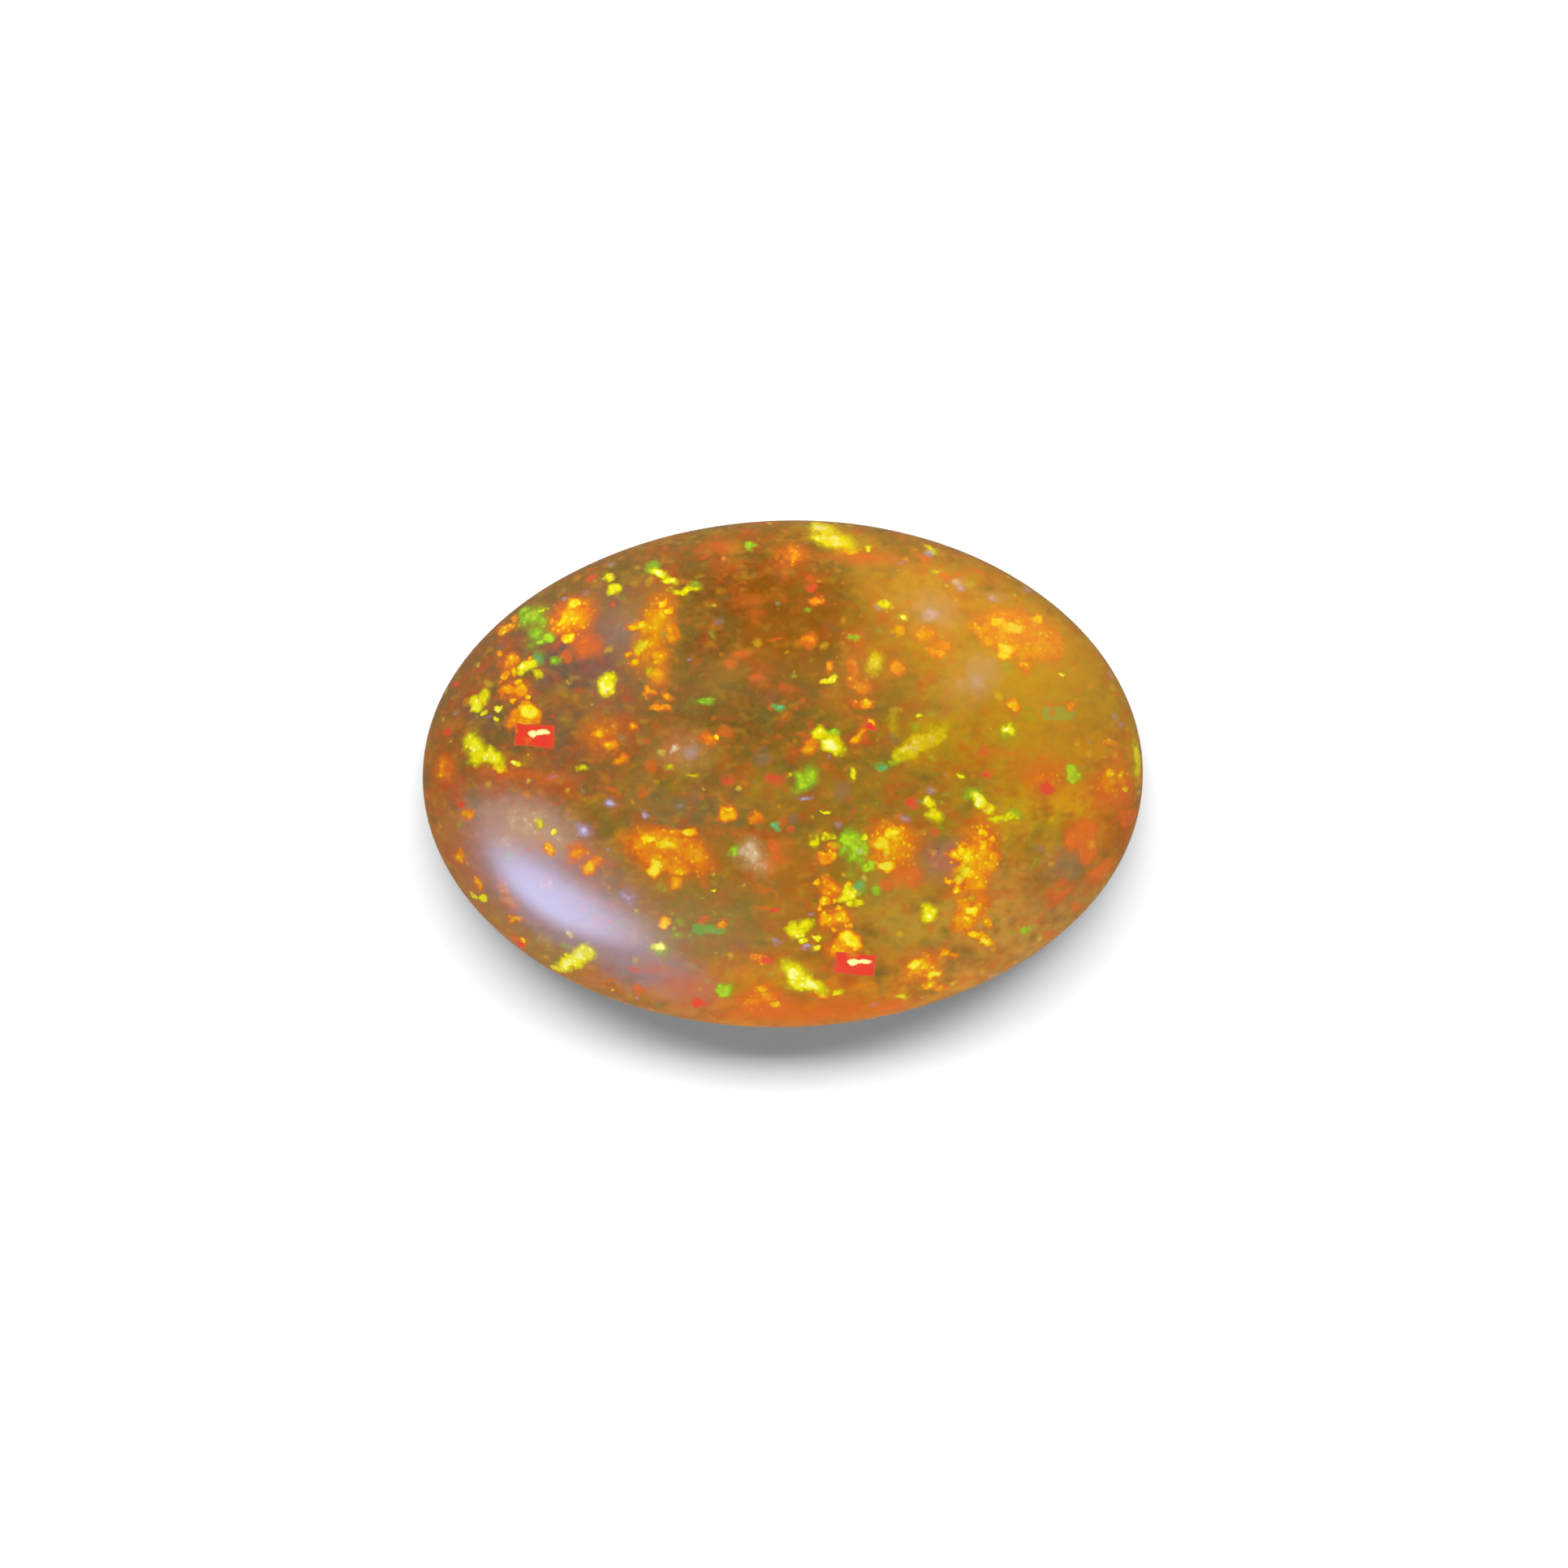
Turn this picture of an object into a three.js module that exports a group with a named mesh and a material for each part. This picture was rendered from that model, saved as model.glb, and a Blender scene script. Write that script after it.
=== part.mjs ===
// Oval opal cabochon: one polished stone with a domed face, a rounded girdle,
// a narrow bevel below it and a flat back.
// Millimetres, +Z up. The origin is the middle of the flat back. X runs along the length.
import * as THREE from "three";

// Driving dimensions
const length = 14.2; // along X, over the girdle
const width = 10.0; // along Y, over the girdle
const height = 4.6; // from the flat back to the top of the dome
const girdleHeight = 0.75; // the widest line of the stone, above the back
const bevelRise = 0.42; // height of the bevel between the back and the girdle
const bevelInset = 0.5; // how far the flat back lies inside the widest line
const girdleRoll = 0.08; // how far the girdle rolls in before the bevel begins
const crownFlatness = 2.15; // 2 gives a plain elliptical dome, more a flatter top

// The hand-cut outline departs from a true oval by these shares of its radius.
// Each entry is a wave that repeats so many times around the stone.
const outlineWaves = [
  { repeats: 2, cosine: 0.0009, sine: 0.0076 },
  { repeats: 3, cosine: -0.0018, sine: -0.0014 },
  { repeats: 4, cosine: 0.0006, sine: -0.0021 },
];

// Fineness of the faceted surface
const stepsAround = 96;
const domeRings = 24;
const girdleRings = 4;

// The outline at angle t, before it is brought to its exact length and width.
function handCutOval(t) {
  const wave = outlineWaves.reduce(
    (sum, w) => sum + w.cosine * Math.cos(w.repeats * t) + w.sine * Math.sin(w.repeats * t),
    1,
  );
  return new THREE.Vector2((length / 2) * wave * Math.cos(t), (width / 2) * wave * Math.sin(t));
}

// The outline's points, centred and scaled so that its box is the stated length and width.
function girdleOutline() {
  const raw = Array.from({ length: stepsAround }, (_, i) =>
    handCutOval((2 * Math.PI * i) / stepsAround),
  );
  const box = new THREE.Box2().setFromPoints(raw);
  const middle = box.getCenter(new THREE.Vector2());
  const size = box.getSize(new THREE.Vector2());
  const fit = new THREE.Vector2(length / size.x, width / size.y);
  return raw.map((p) => p.clone().sub(middle).multiply(fit));
}

// The outline's outward direction at point i, square to the line between its neighbours.
function outwardAt(outline, i) {
  const before = outline[(i + stepsAround - 1) % stepsAround];
  const after = outline[(i + 1) % stepsAround];
  return new THREE.Vector2(after.y - before.y, before.x - after.x).normalize();
}

// The stone's section as rings from the middle of the back to the top of the dome.
// A ring lies at height z. It is the outline scaled by spread, then drawn in by inset.
function sectionRings() {
  const rings = [
    { spread: 0, inset: 0, z: 0 },
    { spread: 1, inset: bevelInset, z: 0 },
  ];
  for (let i = 0; i < girdleRings; i++) {
    const turn = (i / girdleRings) * (Math.PI / 2);
    rings.push({
      spread: 1,
      inset: girdleRoll * (1 - Math.sin(turn)),
      z: girdleHeight - (girdleHeight - bevelRise) * Math.cos(turn),
    });
  }
  for (let i = 0; i < domeRings; i++) {
    const turn = (i / domeRings) * (Math.PI / 2);
    rings.push({
      spread: Math.cos(turn) ** (2 / crownFlatness),
      inset: 0,
      z: girdleHeight + (height - girdleHeight) * Math.sin(turn),
    });
  }
  rings.push({ spread: 0, inset: 0, z: height });
  return rings;
}

// A lathe turns the section once around the axis. Each of its points is then
// moved out to the oval outline, which the round lathe can't give by itself.
function cabochonGeometry() {
  const rings = sectionRings();
  const profile = rings.map((ring, i) => new THREE.Vector2(ring.spread === 0 ? 0 : 1, i));
  const geometry = new THREE.LatheGeometry(profile, stepsAround);
  const outline = girdleOutline();
  const outward = outline.map((_, i) => outwardAt(outline, i));
  const position = geometry.getAttribute("position");
  for (let step = 0; step <= stepsAround; step++) {
    const i = step % stepsAround;
    rings.forEach((ring, level) => {
      const place = outline[i]
        .clone()
        .multiplyScalar(ring.spread)
        .addScaledVector(outward[i], -ring.inset);
      position.setXYZ(step * rings.length + level, place.x, place.y, ring.z);
    });
  }
  geometry.computeVertexNormals();
  return geometry;
}

const polishedOpal = new THREE.MeshStandardMaterial({
  color: new THREE.Color(0.62, 0.42, 0.17),
  roughness: 0.08,
  metalness: 0,
});

const cabochon = new THREE.Mesh(cabochonGeometry(), polishedOpal);
cabochon.name = "cabochon";

const stone = new THREE.Group();
stone.add(cabochon);

export default stone;
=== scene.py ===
import math
import bmesh
import bpy
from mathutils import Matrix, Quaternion, Vector, noise


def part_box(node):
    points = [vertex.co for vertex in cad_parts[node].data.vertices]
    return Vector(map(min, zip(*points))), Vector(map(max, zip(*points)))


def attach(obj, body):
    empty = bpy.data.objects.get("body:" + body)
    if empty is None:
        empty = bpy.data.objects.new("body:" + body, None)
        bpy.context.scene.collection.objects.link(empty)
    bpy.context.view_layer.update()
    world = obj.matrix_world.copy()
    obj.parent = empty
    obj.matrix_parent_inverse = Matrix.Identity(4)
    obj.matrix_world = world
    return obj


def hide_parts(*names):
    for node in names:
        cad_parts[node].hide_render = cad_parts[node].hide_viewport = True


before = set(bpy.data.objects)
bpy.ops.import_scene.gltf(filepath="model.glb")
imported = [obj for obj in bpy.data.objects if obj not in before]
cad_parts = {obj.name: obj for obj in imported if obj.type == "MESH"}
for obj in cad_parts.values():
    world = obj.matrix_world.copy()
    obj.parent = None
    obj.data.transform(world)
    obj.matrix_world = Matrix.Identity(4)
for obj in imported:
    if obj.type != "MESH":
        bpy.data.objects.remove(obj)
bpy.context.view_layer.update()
scene = bpy.context.scene
print("frame loaded")


# small helpers

def srgb(red, green, blue):
    # a screen colour of 0 to 255 as the linear colour that a socket takes
    def linear(channel):
        share = channel / 255
        return share / 12.92 if share <= 0.04045 else ((share + 0.055) / 1.055) ** 2.4
    return (linear(red), linear(green), linear(blue), 1.0)


def addNode(tree, kind, feeds=None, **settings):
    # makes a node, then feeds its inputs with plain values or with links
    made = tree.nodes.new(kind)
    for name, value in settings.items():
        setattr(made, name, value)
    for name, value in (feeds or {}).items():
        if isinstance(value, bpy.types.NodeSocket):
            tree.links.new(value, made.inputs[name])
        else:
            made.inputs[name].default_value = value
    return made


def calc(tree, operation, *values):
    return addNode(tree, "ShaderNodeMath", dict(enumerate(values)), operation=operation).outputs[0]


def vectorCalc(tree, operation, *values):
    made = addNode(tree, "ShaderNodeVectorMath", dict(enumerate(values)), operation=operation)
    return made.outputs["Value" if operation == "LENGTH" else "Vector"]


def scaled(tree, vector, factor):
    return addNode(tree, "ShaderNodeVectorMath", {0: vector, "Scale": factor},
                   operation="SCALE").outputs["Vector"]


def ranged(tree, value, low, high, toLow=0.0, toHigh=1.0, smooth=False):
    return addNode(tree, "ShaderNodeMapRange",
                   {"Value": value, "From Min": low, "From Max": high, "To Min": toLow, "To Max": toHigh},
                   interpolation_type="SMOOTHSTEP" if smooth else "LINEAR", clamp=False).outputs["Result"]


def mixed(tree, factor, below, above, blend="MIX"):
    return addNode(tree, "ShaderNodeMix", {0: factor, 6: below, 7: above},
                   data_type="RGBA", blend_type=blend).outputs[2]


def ramp(tree, value, stops):
    made = addNode(tree, "ShaderNodeValToRGB", {"Fac": value})
    elements = made.color_ramp.elements
    while len(elements) < len(stops):
        elements.new(0.5)
    for element, (position, colour) in zip(elements, stops):
        element.position = position
        element.color = colour
    return made.outputs["Color"]


def newGroup(name, inputs, outputs):
    group = bpy.data.node_groups.new(name, "ShaderNodeTree")
    for socketName, kind in inputs.items():
        group.interface.new_socket(socketName, in_out="INPUT", socket_type="NodeSocket" + kind)
    for socketName, kind in outputs.items():
        group.interface.new_socket(socketName, in_out="OUTPUT", socket_type="NodeSocket" + kind)
    return group, group.nodes.new("NodeGroupInput").outputs, group.nodes.new("NodeGroupOutput").inputs


def useGroup(tree, group, feeds):
    return addNode(tree, "ShaderNodeGroup", feeds, node_tree=group).outputs


# camera, straight above the stone as it lies on its back

low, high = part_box("cabochon")

cameraSetup = {
    "lens": 100.0,  # mm
    "sensor": 36.0,  # mm
    "imageWidth": 1932,  # pixels of the square photograph
    "stoneWidth": 887,  # pixels that the stone's length takes up
    "stoneCentre": (964.5, 953.5),  # pixel of the stone's middle
    "girdleHeight": 0.00075,  # the level that these pixels are measured at
    "clip": (0.005, 10.0),
}


def makeCamera(setup):
    viewWidth = (high.x - low.x) * setup["imageWidth"] / setup["stoneWidth"]
    perPixel = viewWidth / setup["imageWidth"]
    middle = setup["imageWidth"] / 2
    data = bpy.data.cameras.new("camera")
    data.lens = setup["lens"]
    data.sensor_width = setup["sensor"]
    data.clip_start, data.clip_end = setup["clip"]
    camera = bpy.data.objects.new("camera", data)
    camera.location = (
        (middle - setup["stoneCentre"][0]) * perPixel,
        (setup["stoneCentre"][1] - middle) * perPixel,
        setup["girdleHeight"] + viewWidth * setup["lens"] / setup["sensor"],
    )
    scene.collection.objects.link(camera)
    scene.camera = camera
    return camera


camera = makeCamera(cameraSetup)
cameraDistance = 1000 * (camera.location.z - cameraSetup["girdleHeight"])  # mm above the girdle
print("camera placed")


# the stone: a round blank is spun, then cut to its hand-cut oval

stone = {
    "girdleHeight": 0.00075,  # widest line above the back
    "bevelRise": 0.00042,
    "bevelInset": 0.0005,
    "girdleRoll": 0.00008,
    "crownFlatness": 2.15,
    # waves of the outline: times around, cosine and sine
    "outlineWaves": ((2, 0.0009, 0.0076), (3, -0.0018, -0.0014), (4, 0.0006, -0.0021)),
    "outlineChecks": 720,  # places where its length and width are taken
    "stepsAround": 288,
    "domeRings": 72,
    "girdleRings": 6,
    "backRings": 6,
    "edgeSoftness": 0.00005,
    "edgeSteps": 3,
    "weld": 1e-6,  # points closer than this become one
    "backLevel": 1e-7,  # lower than this lies in the flat back
    "polishWave": 0.000004,  # depth of the faint waves that polishing by hand leaves
    "polishWaveSize": 0.0016,
}
halfLength = (high.x - low.x) / 2
halfWidth = (high.y - low.y) / 2
stoneHeight = high.z - low.z


def outlinePoint(angle):
    wave = 1 + sum(cosine * math.cos(n * angle) + sine * math.sin(n * angle)
                   for n, cosine, sine in stone["outlineWaves"])
    return Vector((halfLength * wave * math.cos(angle), halfWidth * wave * math.sin(angle)))


def outlineFit():
    # the middle and the stretch that bring the waved outline to the exact length and width
    count = stone["outlineChecks"]
    points = [outlinePoint(2 * math.pi * i / count) for i in range(count)]
    least = Vector((min(p.x for p in points), min(p.y for p in points)))
    most = Vector((max(p.x for p in points), max(p.y for p in points)))
    stretch = (2 * halfLength / (most.x - least.x), 2 * halfWidth / (most.y - least.y))
    return (least + most) / 2, Vector(stretch)


outlineMiddle, outlineStretch = outlineFit()


def girdlePoint(angle):
    point = outlinePoint(angle) - outlineMiddle
    return Vector((point.x * outlineStretch.x, point.y * outlineStretch.y))


def outward(angle):
    step = 0.01
    along = girdlePoint(angle + step) - girdlePoint(angle - step)
    return Vector((along.y, -along.x)).normalized()


def insetAt(z):
    # how far the stone lies inside its outline at a height below the girdle
    if z >= stone["girdleHeight"]:
        return 0.0
    if z >= stone["bevelRise"]:
        cosine = (stone["girdleHeight"] - z) / (stone["girdleHeight"] - stone["bevelRise"])
        return stone["girdleRoll"] * (1 - math.sqrt(max(0.0, 1 - cosine * cosine)))
    share = z / stone["bevelRise"]
    return stone["bevelInset"] * (1 - share) + stone["girdleRoll"] * share


def sectionPoints():
    # the half section of the round blank, from the middle of the back to the top
    points = [(halfLength * i / stone["backRings"], 0.0) for i in range(stone["backRings"] + 1)]
    for i in range(stone["girdleRings"]):
        turn = i / stone["girdleRings"] * math.pi / 2
        points.append((halfLength, stone["girdleHeight"]
                       - (stone["girdleHeight"] - stone["bevelRise"]) * math.cos(turn)))
    for i in range(stone["domeRings"] + 1):
        turn = i / stone["domeRings"] * math.pi / 2
        points.append((halfLength * max(0.0, math.cos(turn)) ** (2 / stone["crownFlatness"]),
                       stone["girdleHeight"] + (stoneHeight - stone["girdleHeight"]) * math.sin(turn)))
    points[-1] = (0.0, stoneHeight)
    return points


def makeStone():
    bm = bmesh.new()
    verts = [bm.verts.new((x, 0, z)) for x, z in sectionPoints()]
    edges = [bm.edges.new(pair) for pair in zip(verts, verts[1:])]
    bmesh.ops.spin(bm, geom=verts + edges, cent=(0, 0, 0), axis=(0, 0, 1), angle=2 * math.pi,
                   steps=stone["stepsAround"], use_merge=True, use_duplicate=False)
    bmesh.ops.remove_doubles(bm, verts=bm.verts, dist=stone["weld"])
    for vert in bm.verts:
        angle = math.atan2(vert.co.y, vert.co.x)
        spread = math.hypot(vert.co.x, vert.co.y) / halfLength
        place = (girdlePoint(angle) - outward(angle) * insetAt(vert.co.z)) * spread
        vert.co = (place.x, place.y, vert.co.z)
    backEdge = [e for e in bm.edges
                if all(abs(v.co.z) < stone["backLevel"] for v in e.verts) and isBackEdge(e)]
    bmesh.ops.bevel(bm, geom=backEdge, offset=stone["edgeSoftness"], segments=stone["edgeSteps"],
                    profile=0.5, affect="EDGES", material=-1)
    bmesh.ops.recalc_face_normals(bm, faces=bm.faces)
    for face in bm.faces:
        face.smooth = True
    # the waves of the polish only go inwards, so the stone keeps its size
    for vert in bm.verts:
        if vert.co.z > stone["girdleHeight"]:
            wave = noise.noise(vert.co / stone["polishWaveSize"]) - 1
            vert.co += vert.normal * wave * stone["polishWave"]
    mesh = bpy.data.meshes.new("opal_cabochon")
    bm.to_mesh(mesh)
    bm.free()
    piece = bpy.data.objects.new("opal_cabochon", mesh)
    scene.collection.objects.link(piece)
    return piece


def isBackEdge(edge):
    # true where the flat back meets the bevel
    heights = [max(v.co.z for v in face.verts) for face in edge.link_faces]
    return min(heights) < stone["backLevel"] < max(heights)


opal = makeStone()
print("stone cut:", len(opal.data.polygons), "faces")


# markings, placed in millimetres from the middle of the stone, seen from above
# each flake: x, y, half length, half width, turn in degrees, softness, heat
# softness 1 fades all the way from the middle, small values give a crisp edge
# heat runs along the colours of its kind

fireFlakes = (
    (-4.20, 3.10, 0.44, 0.40, 0, 0.80, 0.62), (-4.16, 3.35, 0.17, 0.10, 20, 0.6, 0.92),
    (-4.34, 3.10, 0.12, 0.19, 0, 0.6, 0.95), (-4.25, 2.68, 0.13, 0.09, 0, 0.5, 0.90),
    (-5.40, 2.18, 0.24, 0.17, 0, 0.80, 0.42), (-5.53, 2.84, 0.15, 0.10, 0, 0.5, 0.58),
    (-5.36, 2.92, 0.10, 0.08, 0, 0.5, 0.66), (-5.32, 3.10, 0.10, 0.07, 0, 0.5, 0.52),
    (-5.50, 1.97, 0.09, 0.07, 0, 0.5, 0.62), (-5.48, 1.66, 0.14, 0.11, 0, 0.5, 0.66),
    (-5.18, 1.66, 0.15, 0.11, 0, 0.5, 0.64), (-2.55, 2.85, 0.75, 0.30, 72, 0.90, 0.58),
    (-2.38, 3.36, 0.08, 0.08, 0, 0.6, 0.82), (-2.24, 3.22, 0.08, 0.07, 0, 0.6, 0.82),
    (-2.40, 3.11, 0.09, 0.09, 0, 0.6, 0.80), (-2.97, 2.88, 0.12, 0.08, 0, 0.6, 0.80),
    (-2.76, 2.95, 0.12, 0.09, 0, 0.6, 0.82), (-2.73, 2.54, 0.09, 0.18, -20, 0.6, 0.96),
    (-2.86, 2.39, 0.09, 0.08, 0, 0.6, 0.85), (-3.05, 2.38, 0.08, 0.07, 0, 0.6, 0.80),
    (-2.91, 2.21, 0.08, 0.08, 0, 0.6, 0.80), (-2.20, 2.77, 0.13, 0.19, 0, 0.6, 0.56),
    (-2.43, 2.34, 0.18, 0.22, 0, 0.8, 0.52), (-4.98, 1.22, 0.22, 0.14, -35, 0.60, 1.00),
    (-5.18, 1.06, 0.24, 0.20, 0, 0.60, 0.55), (-5.58, 0.13, 0.15, 0.08, -10, 0.5, 0.70),
    (-6.67, 0.08, 0.26, 0.22, 0, 0.80, 0.42), (-6.20, -0.81, 0.13, 0.09, 0, 0.6, 0.48),
    (-6.36, -1.62, 0.14, 0.12, 0, 0.7, 0.46), (-4.06, -1.55, 0.22, 0.16, 0, 0.9, 0.55),
    (-3.82, -1.88, 0.13, 0.11, 0, 0.6, 0.70), (-3.70, -1.74, 0.16, 0.11, 0, 0.7, 0.42),
    (-2.66, 1.62, 0.12, 0.07, -20, 0.7, 0.74), (-2.40, 1.30, 0.16, 0.06, -20, 0.7, 0.70),
    (-3.55, 0.70, 0.40, 0.38, 0, 1.00, 0.40), (-3.62, 0.79, 0.14, 0.09, 0, 0.8, 0.66),
    (-3.40, 0.55, 0.14, 0.11, 0, 0.8, 0.66), (-1.47, 0.69, 0.12, 0.11, 0, 0.6, 0.48),
    (-1.29, 0.75, 0.06, 0.05, 0, 0.5, 0.85), (-1.09, -0.80, 0.15, 0.12, 10, 0.4, 0.66),
    (-1.10, -0.71, 0.09, 0.04, 10, 0.5, 0.92), (-0.53, -0.86, 0.12, 0.09, 0, 0.6, 0.45),
    (-2.26, -1.55, 0.66, 0.33, -14, 0.35, 0.44), (-1.72, -1.62, 0.26, 0.32, 0, 0.40, 0.20),
    (-2.31, -1.39, 0.22, 0.10, 0, 0.6, 0.98), (-2.66, -1.28, 0.17, 0.09, 0, 0.6, 0.92),
    (-1.88, -1.19, 0.14, 0.08, 0, 0.6, 0.92), (-2.52, -1.85, 0.15, 0.15, 0, 0.6, 0.98),
    (-0.45, -4.45, 0.34, 0.26, 0, 0.80, 0.42), (-0.43, -4.25, 0.13, 0.11, 0, 0.6, 0.72),
    (-0.13, -4.53, 0.09, 0.06, 0, 0.5, 0.72), (-5.98, -2.17, 0.08, 0.10, 0, 0.6, 0.64),
    (-5.50, -2.25, 0.12, 0.26, 0, 0.6, 0.40), (-5.33, -2.55, 0.16, 0.12, 0, 0.7, 0.50),
    (-5.27, -2.87, 0.16, 0.07, 8, 0.5, 0.66), (-5.14, -3.26, 0.05, 0.07, 0, 0.5, 0.85),
    (-2.12, -2.15, 0.15, 0.10, 0, 0.7, 0.62), (-2.33, -2.92, 0.10, 0.10, 0, 0.6, 0.72),
    (-1.20, -2.95, 0.10, 0.09, 0, 0.7, 0.52), (-0.45, -3.65, 0.17, 0.07, -8, 0.4, 0.40),
    (1.50, 0.74, 0.15, 0.07, 45, 0.5, 0.58), (0.53, 0.58, 0.12, 0.17, 0, 0.7, 0.56),
    (-4.62, -2.18, 0.12, 0.14, 0, 0.6, 0.50), (-4.60, -1.47, 0.10, 0.09, 0, 0.6, 0.66),
    (2.80, -3.85, 0.30, 0.28, -30, 0.9, 0.66), (2.64, -3.77, 0.14, 0.11, 0, 0.6, 0.92),
    (2.98, -3.97, 0.15, 0.10, 0, 0.6, 0.95), (3.18, -3.56, 0.12, 0.10, 0, 0.7, 0.70),
    (2.93, -4.18, 0.16, 0.09, 0, 0.8, 0.60), (3.72, -2.70, 0.30, 0.30, 0, 1.0, 0.70),
    (3.76, -2.68, 0.13, 0.13, 0, 0.6, 0.95), (3.60, -2.95, 0.24, 0.16, 0, 0.9, 0.66),
    (3.80, -3.20, 0.20, 0.08, -20, 0.7, 0.80), (4.05, -3.32, 0.16, 0.07, -20, 0.7, 0.80),
    (6.70, -0.12, 0.22, 0.22, 0, 0.9, 0.50), (6.66, -0.04, 0.10, 0.07, 0, 0.8, 0.80),
    (5.25, -0.12, 0.45, 0.40, 0, 1.0, 0.34),
    (3.80, -1.78, 0.62, 0.30, 75, 0.8, 0.70), (3.62, -1.66, 0.14, 0.24, -10, 0.7, 0.90),
    (4.74, 2.72, 0.70, 0.37, -14, 0.35, 0.44), (4.45, 2.88, 0.34, 0.12, -10, 0.8, 0.90),
    (4.42, 2.45, 0.18, 0.12, 0, 0.7, 0.92), (-5.34, 2.28, 0.20, 0.10, -30, 0.9, 0.66),
    (-5.02, 2.30, 0.06, 0.06, 0, 0.6, 0.80), (-5.30, 2.02, 0.07, 0.05, 0, 0.6, 0.72),
    (-5.62, 2.36, 0.06, 0.05, 0, 0.6, 0.72), (-5.36, 1.42, 0.06, 0.05, 0, 0.6, 0.80),
    (-2.45, 1.95, 0.20, 0.24, 0, 1.0, 0.56), (-2.28, 1.55, 0.14, 0.08, -30, 0.8, 0.60),
    (-3.18, 0.28, 0.12, 0.10, 0, 0.9, 0.60), (-2.95, 0.92, 0.10, 0.08, 0, 0.9, 0.56),
    (-5.30, 1.64, 0.30, 0.20, 0, 1.0, 0.58), (-5.22, 1.84, 0.08, 0.06, 0, 0.6, 0.85),
    (-5.60, 1.84, 0.06, 0.05, 0, 0.6, 0.85), (-5.05, 1.52, 0.06, 0.06, 0, 0.6, 0.80),
)

emberFlakes = (
    (-3.88, 2.53, 0.32, 0.25, -20, 0.60, 0.38), (-4.26, 2.31, 0.13, 0.09, 0, 0.5, 0.34),
    (-1.29, 4.47, 0.36, 0.20, 0, 1.00, 0.36), (-0.58, 3.15, 0.20, 0.26, 8, 1.0, 0.24),
    (-0.55, 3.42, 0.27, 0.12, 0, 1.0, 0.24), (-0.03, 4.10, 0.36, 0.20, 0, 1.00, 0.26),
    (-0.15, 2.63, 0.12, 0.04, 0, 0.5, 0.32), (-0.82, 2.34, 0.17, 0.11, 0, 0.7, 0.36),
    (-1.04, 2.16, 0.13, 0.10, 0, 0.7, 0.34), (-0.51, 1.88, 0.14, 0.10, 0, 0.7, 0.34),
    (-5.20, -0.02, 1.00, 0.14, -3, 1.00, 0.30), (-1.14, 0.81, 0.12, 0.07, 0, 0.4, 0.30),
    (-2.59, 0.15, 0.07, 0.16, 0, 0.5, 0.28), (-3.42, -0.33, 0.11, 0.06, 0, 0.5, 0.32),
    (-2.75, -0.39, 0.06, 0.05, 0, 0.4, 0.30), (-0.18, -1.49, 0.14, 0.17, 0, 0.5, 0.34),
    (-2.91, -1.29, 0.11, 0.09, 0, 0.5, 0.32), (-5.20, -3.28, 0.17, 0.16, 0, 0.6, 0.36),
    (-1.55, -2.10, 0.11, 0.20, 0, 1.0, 0.30), (-0.33, -2.65, 0.13, 0.05, 0, 0.5, 0.34),
    (-0.35, -2.33, 0.14, 0.07, 0, 0.8, 0.30), (-1.55, -2.87, 0.15, 0.05, 0, 0.7, 0.32),
    (-2.45, -3.85, 0.50, 0.11, 0, 1.0, 0.28), (-1.90, -4.20, 0.56, 0.28, 0, 1.0, 0.34),
    (-2.82, -4.27, 0.11, 0.09, 0, 0.5, 0.34), (0.38, 0.79, 0.06, 0.06, 0, 0.4, 0.32),
    (5.92, -1.22, 0.32, 0.28, 20, 0.4, 0.46), (6.02, -1.55, 0.18, 0.24, 0, 0.4, 0.46),
    (6.82, -0.85, 0.28, 0.14, 10, 0.4, 0.38), (6.30, -1.90, 0.28, 0.13, 30, 0.5, 0.42),
    (2.75, 4.25, 0.18, 0.07, -20, 0.8, 0.42), (3.20, 3.90, 0.16, 0.08, -30, 0.8, 0.42),
    (3.85, 3.98, 0.14, 0.07, -30, 0.8, 0.42), (1.70, 4.28, 0.34, 0.14, 0, 1.0, 0.36),
    (5.30, 2.62, 0.20, 0.26, 0, 0.8, 0.50), (1.48, 2.62, 0.24, 0.34, 0, 1.0, 0.34),
    (5.55, -2.35, 0.24, 0.07, 25, 0.7, 0.40), (5.35, -2.52, 0.22, 0.10, 10, 0.9, 0.34),
    (5.95, -2.75, 0.12, 0.08, 30, 0.7, 0.40), (5.20, -3.20, 0.14, 0.10, 0, 0.9, 0.36),
    (6.60, 0.30, 0.24, 0.14, 0, 0.9, 0.40), (2.10, -4.62, 0.50, 0.14, 10, 0.9, 0.44),
    (-0.35, -4.60, 0.62, 0.34, 0, 0.6, 0.40), (0.85, -4.72, 0.80, 0.16, 4, 0.8, 0.40),
    (-0.14, -1.62, 0.26, 0.38, -10, 0.9, 0.32),
)

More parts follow.
